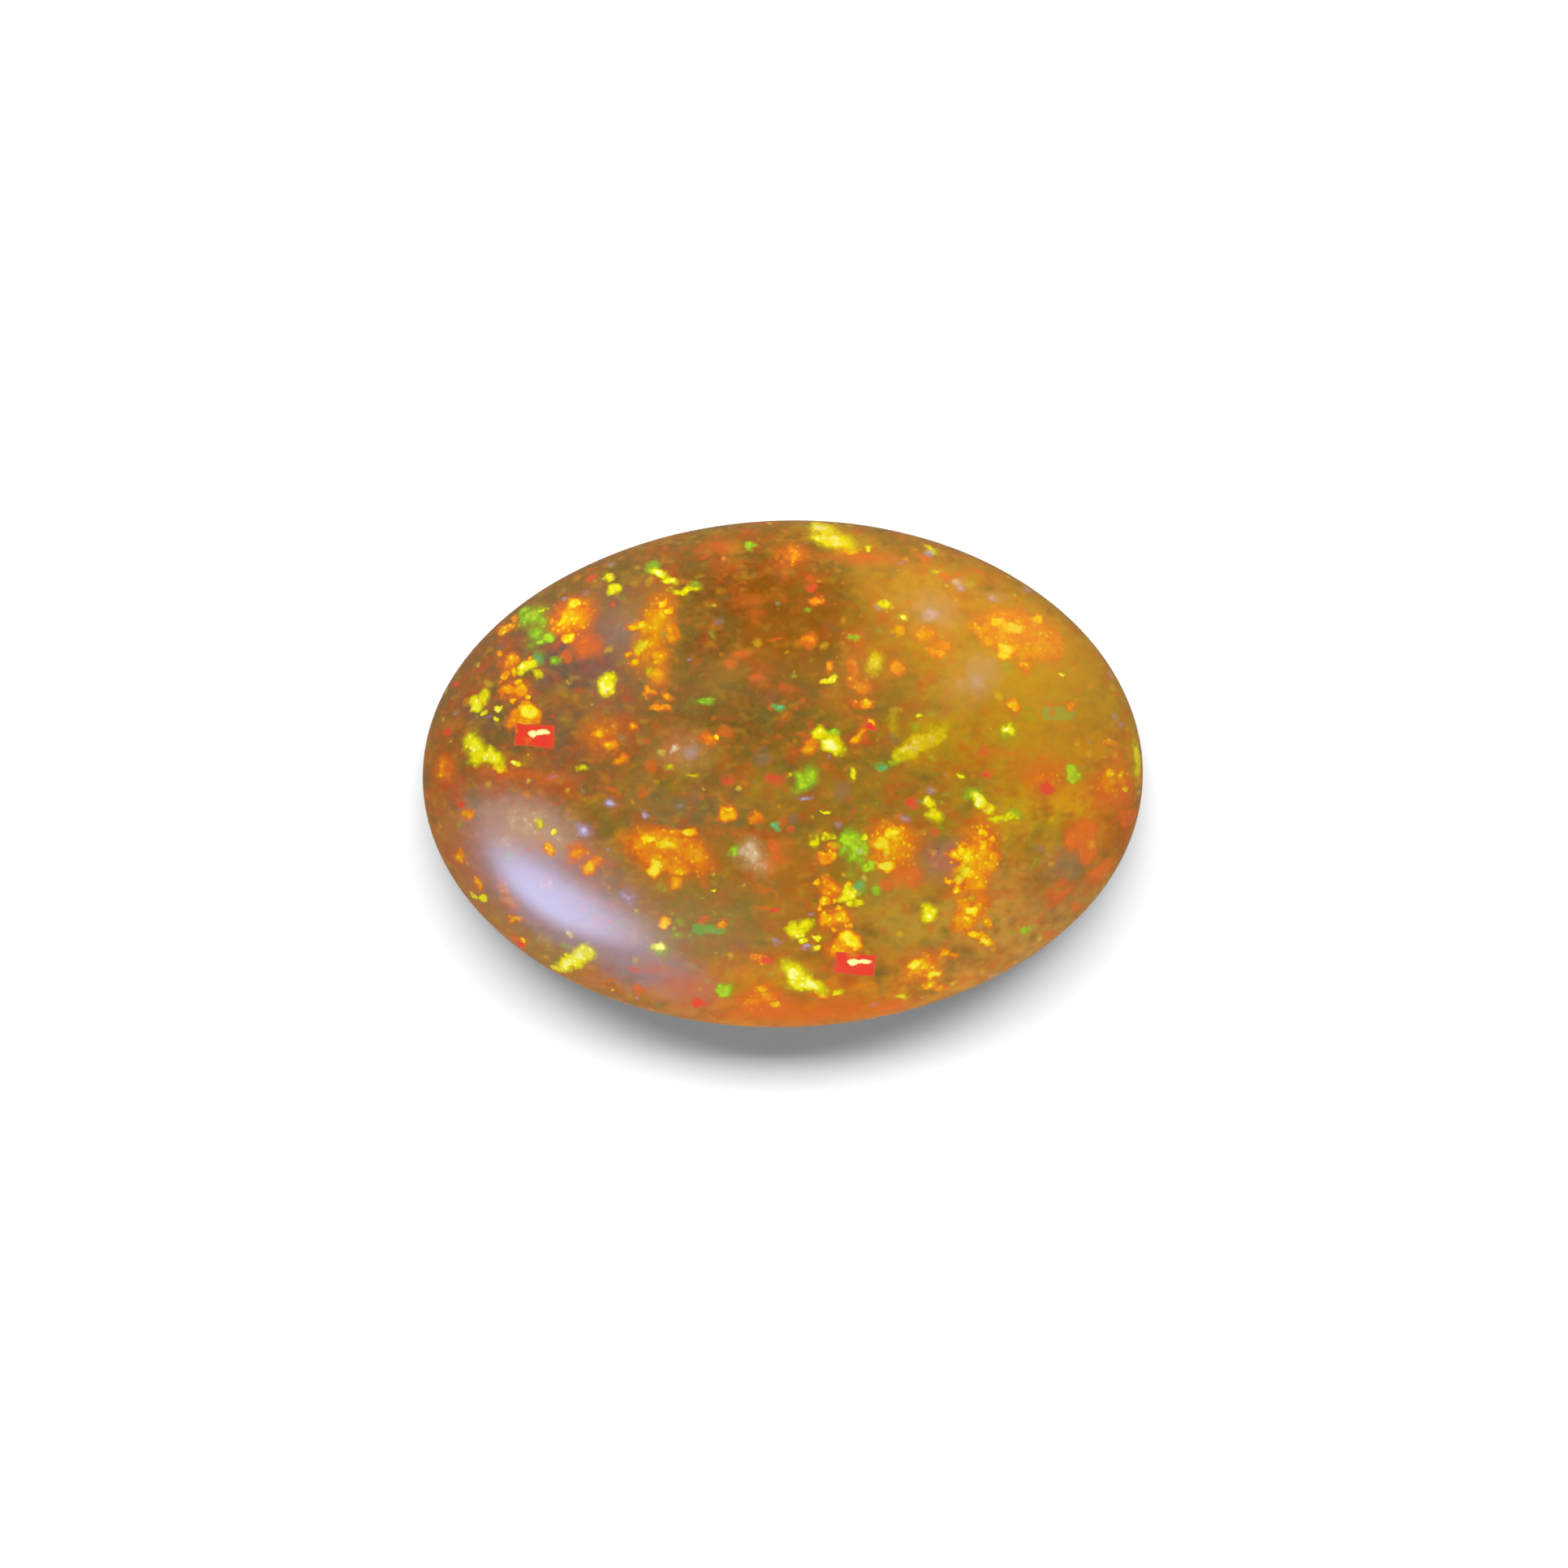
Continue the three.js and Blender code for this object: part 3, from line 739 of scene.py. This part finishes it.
# clouds in the body: size per mm, detail and offset, then for each channel of a noise
# where its colour starts, where it is full, how strong it is and the colour
bodyClouds = (
    (0.8, 3.0, (0, 0, 0), (
        (0.48, 0.66, 0.50, srgb(186, 96, 24)), (0.50, 0.68, 0.60, srgb(112, 94, 34)),
        (0.52, 0.70, 0.45, srgb(190, 136, 32)))),
    (2.2, 2.5, (4.1, 7.3, 2.9), (
        (0.50, 0.66, 0.55, srgb(188, 78, 28)), (0.50, 0.68, 0.55, srgb(108, 94, 40)),
        (0.54, 0.72, 0.35, srgb(196, 142, 36)))),
    (4.6, 1.0, (2.3, 5.1, 8.4), (
        (0.52, 0.66, 0.26, srgb(200, 84, 36)), (0.52, 0.68, 0.24, srgb(122, 110, 50)),
        (0.56, 0.68, 0.24, srgb(204, 150, 40)))),
)

# scattered chips: cells per mm, share of them lit, offset, strength, blur, colours, raggedness
deepChips = (
    (1.5, 0.55, (3.1, 0.7, 5.2), 0.55, 1.0, moodColours, 1.0),
    (2.8, 0.45, (1.3, 8.2, 2.2), 0.50, 0.9, moodColours, 1.0),
)
pinFire = (
    (3.9, 0.20, (7.7, 2.9, 1.1), 0.65, 0.95, chipColours, 0.7),
    (6.5, 0.10, (2.7, 4.9, 9.1), 0.70, 0.95, chipColours, 0.5),
)

# one red tile at the left, and pale threads across it
redTiles = ((-4.90, 0.75, 0.25, 0.136, -5, 0.16, 1.0),)
paleThreads = ((-4.94, 0.78, 0.07, 0.05, 0, 0.4, 1.0), (-4.76, 0.79, 0.12, 0.035, 5, 0.4, 1.0))
paleColours = ((0.0, srgb(240, 200, 100)), (1.0, srgb(250, 236, 160)))


def makeOpalMaterial():
    material = bpy.data.materials.new("fire opal")
    material.use_nodes = True
    tree = material.node_tree
    tree.nodes.clear()
    output = addNode(tree, "ShaderNodeOutputMaterial")

    objectPlace = addNode(tree, "ShaderNodeTexCoord").outputs["Object"]
    place = addNode(tree, "ShaderNodeMapping",
                    {"Vector": objectPlace, "Scale": (1000, 1000, 1000)}).outputs[0]  # in mm
    grown = vectorCalc(tree, "MULTIPLY", place, opalLook["growth"])

    # how the sides of every flake wander: broad waves, fine fray and the granules they are made of
    waves = addNode(tree, "ShaderNodeTexNoise",
                    {"Vector": grown, "Scale": opalLook["wanderSize"], "Detail": 1.0})
    fray = addNode(tree, "ShaderNodeTexNoise",
                   {"Vector": grown, "Scale": opalLook["fraySize"], "Detail": 1.0})
    grain = addNode(tree, "ShaderNodeTexVoronoi", {"Vector": grown, "Scale": opalLook["grainSize"]})
    half = (0.5, 0.5, 0.5)
    reach = opalLook["noiseReach"]
    wander = scaled(tree, vectorCalc(tree, "SUBTRACT", waves.outputs["Color"], half),
                    opalLook["wander"] * reach)
    frayed = scaled(tree, vectorCalc(tree, "SUBTRACT", fray.outputs["Color"], half),
                    opalLook["fray"] * reach)
    toGrain = scaled(tree, vectorCalc(tree, "SUBTRACT", grain.outputs["Position"], grown),
                     opalLook["grainPull"])
    ragged = vectorCalc(tree, "ADD", vectorCalc(tree, "ADD", wander, frayed), toGrain)
    grainChance = addNode(tree, "ShaderNodeSeparateColor", {0: grain.outputs["Color"]}).outputs
    frayTint = addNode(tree, "ShaderNodeSeparateColor", {0: fray.outputs["Color"]}).outputs
    waveTint = addNode(tree, "ShaderNodeSeparateColor", {0: waves.outputs["Color"]}).outputs
    feeds = {"Place": place, "Ragged": ragged}

    def mottle(below, size, detail, offset, picks):
        # soft clouds, a little drawn out along the stone: each channel of a noise brings in one colour
        shifted = vectorCalc(tree, "MULTIPLY_ADD", grown, opalLook["cloudStretch"], offset)
        cloud = addNode(tree, "ShaderNodeTexNoise", {"Vector": shifted, "Scale": size, "Detail": detail,
                                                     "Roughness": opalLook["cloudRoughness"]})
        tint = addNode(tree, "ShaderNodeSeparateColor", {0: cloud.outputs["Color"]}).outputs
        for channel, (start, end, strength, colour) in enumerate(picks):
            below = mixed(tree, ranged(tree, tint[channel], start, end, 0.0, strength), below, colour)
        return below

    # body with clouds of orange, olive, gold and mauve
    # the body zones hold painted light too: a brighter bottom edge and a painted glow through the right half
    colour = useGroup(tree, makeZoneGroup("body colour and painted light", bodyAndPaintedLightZones), {**feeds, "Color": bodyBase})["Color"]
    for cloud in bodyClouds:
        colour = mottle(colour, *cloud)
    grainAmount = calc(tree, "MULTIPLY", grainChance[1], opalLook["bodyGrain"])
    colour = mixed(tree, grainAmount, colour, opalLook["grainColour"])

    # chips deep in the stone are blurred, those near the surface are crisp
    def scatter(below, cellsPerMm, share, offset, strength, blur, colours, raggedness):
        frayedPlace = vectorCalc(tree, "MULTIPLY_ADD", ragged, (raggedness,) * 3, grown)
        shifted = vectorCalc(tree, "ADD", frayedPlace, offset)
        chip = useGroup(tree, chipGroup, {"Place": shifted, "Cells per mm": cellsPerMm, "Share": share})
        cover = ranged(tree, chip["Heat"], 0.0, blur, 0.0, strength)
        return mixed(tree, cover, below, ramp(tree, chip["Pick"], colours))

    for chips in deepChips:
        colour = scatter(colour, *chips)
    # the haze holds the painted halo around the polish highlight and part of the painted glow on the right
    colour = useGroup(tree, makeZoneGroup("milky haze and painted light", hazeAndPaintedLightZones), {**feeds, "Color": colour})["Color"]
    colour = mixed(tree, 1.0, colour, opalLook["depth"], "MULTIPLY")

    # the listed flakes, kind after kind
    broad = calc(tree, "MULTIPLY", calc(tree, "SUBTRACT", waveTint[0], 0.5), opalLook["broadShake"])
    fine = calc(tree, "MULTIPLY", calc(tree, "SUBTRACT", frayTint[0], 0.5), opalLook["fineShake"])
    bead = calc(tree, "MULTIPLY_ADD", grain.outputs["Distance"], -opalLook["beadFall"], 1.0)
    bead = calc(tree, "MAXIMUM", bead, 0.0)
    beads = calc(tree, "MULTIPLY", calc(tree, "MULTIPLY", bead, grainChance[0]), opalLook["beads"])
    shake = calc(tree, "ADD", calc(tree, "ADD", broad, fine), beads)

    amounts = {}

    def layer(below, name, flakes, colours, shaken, raggedness=1.0, cover=0.3, holes=0.5,
              shape=flakeGroup, repeats=pattern["repeats"]):
        heat = useGroup(tree, placedFlakes(name, flakes, shape, raggedness, repeats), feeds)["Heat"]
        shakenHeat = calc(tree, "MULTIPLY_ADD", shake, shaken, heat)
        holedHeat = calc(tree, "MULTIPLY_ADD", calc(tree, "MULTIPLY", shake, holes), heat, heat)
        amounts[name] = ranged(tree, holedHeat, opalLook["firstHeat"], cover)
        return mixed(tree, amounts[name], below, ramp(tree, shakenHeat, colours))

    colour = layer(colour, "lilac flakes", lilacFlakes, lilacColours, 0.3, cover=1.1)
    colour = layer(colour, "cream flakes", creamFlakes, creamColours, 0.5, cover=1.0)
    # partly the painted halo of the polish highlight, laid once only
    colour = layer(colour, "peach and painted halo flakes", peachAndPaintedHaloFlakes, creamColours, 0.5, cover=1.0,
                   repeats=((0.0, 0.0),))
    colour = layer(colour, "teal flakes", tealFlakes, tealColours, 0.3, cover=0.75)
    colour = layer(colour, "ember flakes", emberFlakes, emberColours, 0.2, cover=0.5)
    colour = layer(colour, "fire flakes", fireFlakes, fireColours, 0.75, cover=0.42, holes=0.6)
    colour = layer(colour, "green flakes", greenFlakes, greenColours, 0.7, cover=1.0, holes=1.2)
    colour = layer(colour, "red flakes", redFlakes, redColours, 0.3, cover=0.9)
    colour = layer(colour, "yellow flakes", yellowFlakes, yellowColours, 0.6, cover=0.7, holes=1.0)
    colour = layer(colour, "red tiles", redTiles, redColours, 0.2, raggedness=0.3, holes=0.0,
                   shape=blockGroup)
    colour = layer(colour, "pale threads", paleThreads, paleColours, 0.1, raggedness=0.4, cover=0.4)

    # pin fire
    for chips in pinFire:
        colour = scatter(colour, *chips)
    colour = mixed(tree, 1.0, colour, opalLook["flakeDepth"], "MULTIPLY")
    # the veils hold a painted glow over the upper right and painted reflection under the polish highlight
    colour = useGroup(tree, makeZoneGroup("golden haze and painted light", veilAndPaintedLightZones), {**feeds, "Color": colour})["Color"]

    # the flat back is only ground, not polished: paler, without coat and finely scratched
    rise = addNode(tree, "ShaderNodeSeparateXYZ", {0: place}).outputs["Z"]
    ground = calc(tree, "LESS_THAN", rise, backLook["level"])
    colour = mixed(tree, calc(tree, "MULTIPLY", ground, backLook["paleness"]), colour, backLook["colour"])
    coat = ranged(tree, ground, 0.0, 1.0, opalLook["coat"], backLook["coat"])
    scratches = addNode(tree, "ShaderNodeTexNoise", {
        "Vector": vectorCalc(tree, "MULTIPLY", place, backLook["scratchSize"]), "Scale": 1.0, "Detail": 2.0})

    # the brightest flakes catch the light on granules that lean out of the surface
    flakeAmount = calc(tree, "MAXIMUM", amounts["yellow flakes"],
                       calc(tree, "MAXIMUM", amounts["fire flakes"], amounts["green flakes"]))
    flakeAmount = calc(tree, "MINIMUM", calc(tree, "MAXIMUM", flakeAmount, 0.0), 1.0)
    normal = addNode(tree, "ShaderNodeNewGeometry").outputs["Normal"]
    polished = calc(tree, "SUBTRACT", 1.0, ground)
    flakeTilt = calc(tree, "MULTIPLY", calc(tree, "MULTIPLY", flakeAmount, polished),
                     opalLook["flakeTilt"])
    tilt = scaled(tree, vectorCalc(tree, "SUBTRACT", grain.outputs["Color"], half), flakeTilt)
    scratchTilt = scaled(tree, vectorCalc(tree, "SUBTRACT", scratches.outputs["Color"], half),
                         calc(tree, "MULTIPLY", ground, backLook["scratchTilt"]))
    tilted = vectorCalc(tree, "ADD", normal, vectorCalc(tree, "ADD", tilt, scratchTilt))

    shader = addNode(tree, "ShaderNodeBsdfPrincipled", {
        "Base Color": colour,
        "Roughness": opalLook["roughness"],
        "Normal": vectorCalc(tree, "NORMALIZE", tilted),
        "IOR": opalLook["ior"],
        "Specular IOR Level": 0.0,
        "Coat Weight": coat,
        "Coat Roughness": opalLook["coatRoughness"],
        "Coat IOR": opalLook["coatIor"],
    })
    tree.links.new(shader.outputs[0], output.inputs["Surface"])
    return material


opal.data.materials.append(makeOpalMaterial())
opal.visible_diffuse = False  # keeps its orange glow off the floor, whose shadow stays grey
print("opal painted")


# floor, world and lights

studio = {
    "floorSize": 3.0,
    "floorSides": 96,
    "floorColour": (0.92, 0.92, 0.92, 1.0),
    "floorRoughness": 0.7,
    "floorShine": 0.1,
    "worldColour": (1.0, 1.0, 1.0, 1.0),
    "worldStrength": 0.11,
    "belowStrength": 0.85,  # below the floor, only seen when the floor is taken away
    "reflectedStrength": 0.08,
    "reflectedFloor": 0.34,
    "reflectedFade": 2.0,  # how fast the reflected room turns into floor, going down
    "bounceColour": (1.0, 0.62, 0.34, 1.0),  # the floor close to the stone takes on its glow
    "skyRoll": 14.0,  # degrees that the sky lights are turned about their beam
    "skyFade": 1.4,  # how steeply they fade out
}

# soft boxes: azimuth and elevation in degrees, distance, width and height in metres, power, colour
softBoxes = {
    "key": (90, 58, 0.25, 0.38, 0.09, 1.21, (1, 1, 1)),
    "front fill": (270, 3.5, 0.25, 0.36, 0.022, 0.90, (1, 1, 1)),
}
# the same for the lights that only show on the polish, and the share of each that stays bright
skyLights = {
    "low sky light": (226, 11.5, 0.12, 0.142, 0.102, 0.95, (0.43, 0.60, 1.0), 0.22),
    "wide sky veil": (230, 13, 0.12, 0.26, 0.20, 0.42, (0.46, 0.52, 0.96), 0.1),
}


def makeFloor():
    bm = bmesh.new()
    bmesh.ops.create_circle(bm, cap_ends=True, radius=studio["floorSize"], segments=studio["floorSides"])
    mesh = bpy.data.meshes.new("floor")
    bm.to_mesh(mesh)
    bm.free()
    floor = bpy.data.objects.new("floor", mesh)
    scene.collection.objects.link(floor)
    material = bpy.data.materials.new("pale floor")
    material.use_nodes = True
    shader = material.node_tree.nodes["Principled BSDF"]
    shader.inputs["Base Color"].default_value = studio["floorColour"]
    shader.inputs["Roughness"].default_value = studio["floorRoughness"]
    shader.inputs["Specular IOR Level"].default_value = studio["floorShine"]
    floor.data.materials.append(material)
    floor.visible_glossy = False  # the world below stands in for it on the polish
    return floor


floor = makeFloor()


def makeWorld():
    # a pale studio room, kept dark in reflections above the floor so that the soft boxes show on the polish
    world = bpy.data.worlds.new("studio")
    world.use_nodes = True
    tree = world.node_tree
    rays = addNode(tree, "ShaderNodeLightPath").outputs["Is Glossy Ray"]
    towards = addNode(tree, "ShaderNodeTexCoord").outputs["Generated"]
    rise = addNode(tree, "ShaderNodeSeparateXYZ", {0: towards}).outputs["Z"]
    nearFloor = calc(tree, "MULTIPLY", rise, -studio["reflectedFade"])
    nearFloor = calc(tree, "MINIMUM", calc(tree, "MAXIMUM", nearFloor, 0.0), 1.0)
    reflected = ranged(tree, nearFloor, 0.0, 1.0, studio["reflectedStrength"], studio["reflectedFloor"])
    lit = ranged(tree, nearFloor, 0.0, 1.0, studio["worldStrength"], studio["belowStrength"])
    strength = calc(tree, "MULTIPLY_ADD", rays, calc(tree, "SUBTRACT", reflected, lit), lit)
    background = tree.nodes["Background"]
    tint = mixed(tree, calc(tree, "MULTIPLY", rays, nearFloor), studio["worldColour"], studio["bounceColour"])
    tree.links.new(tint, background.inputs["Color"])
    tree.links.new(strength, background.inputs["Strength"])
    scene.world = world


makeWorld()
scene.view_settings.view_transform = "Standard"


def areaLight(name, azimuth, elevation, distance, width, height, power, colour, roll=0.0):
    # a soft box that faces the stone; azimuth turns from +X towards +Y
    data = bpy.data.lights.new(name, "AREA")
    data.shape = "RECTANGLE"
    data.size = width
    data.size_y = height
    data.energy = power
    data.color = colour
    light = bpy.data.objects.new(name, data)
    a, e = math.radians(azimuth), math.radians(elevation)
    light.location = Vector((math.cos(a) * math.cos(e), math.sin(a) * math.cos(e), math.sin(e))) * distance
    facing = (-light.location).to_track_quat("-Z", "Y") @ Quaternion((0, 0, 1), math.radians(roll))
    light.rotation_euler = facing.to_euler()
    light.visible_camera = False
    scene.collection.objects.link(light)
    return light


def fadeEdges(light, plateau):
    # the soft box fades out towards its edges, like cloth lit from behind
    light.data.use_nodes = True
    tree = light.data.node_tree
    spot = addNode(tree, "ShaderNodeNewGeometry").outputs["Parametric"]
    fromMiddle = scaled(tree, vectorCalc(tree, "SUBTRACT", spot, (0.5, 0.5, 0.0)), 2.0)
    sides = addNode(tree, "ShaderNodeSeparateXYZ", {0: fromMiddle}).outputs
    flat = addNode(tree, "ShaderNodeCombineXYZ", {"X": sides["X"], "Y": sides["Y"]}).outputs[0]
    share = ranged(tree, vectorCalc(tree, "LENGTH", flat), 1.0, plateau, smooth=True)
    glow = calc(tree, "POWER", share, studio["skyFade"])
    tree.links.new(glow, tree.nodes["Emission"].inputs["Strength"])


for name, values in softBoxes.items():
    areaLight(name, *values).visible_glossy = False
for name, (*values, plateau) in skyLights.items():
    sky = areaLight(name, *values, studio["skyRoll"])
    sky.visible_diffuse = False
    fadeEdges(sky, plateau)
print("studio lit")


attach(opal, "root")
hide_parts("cabochon")
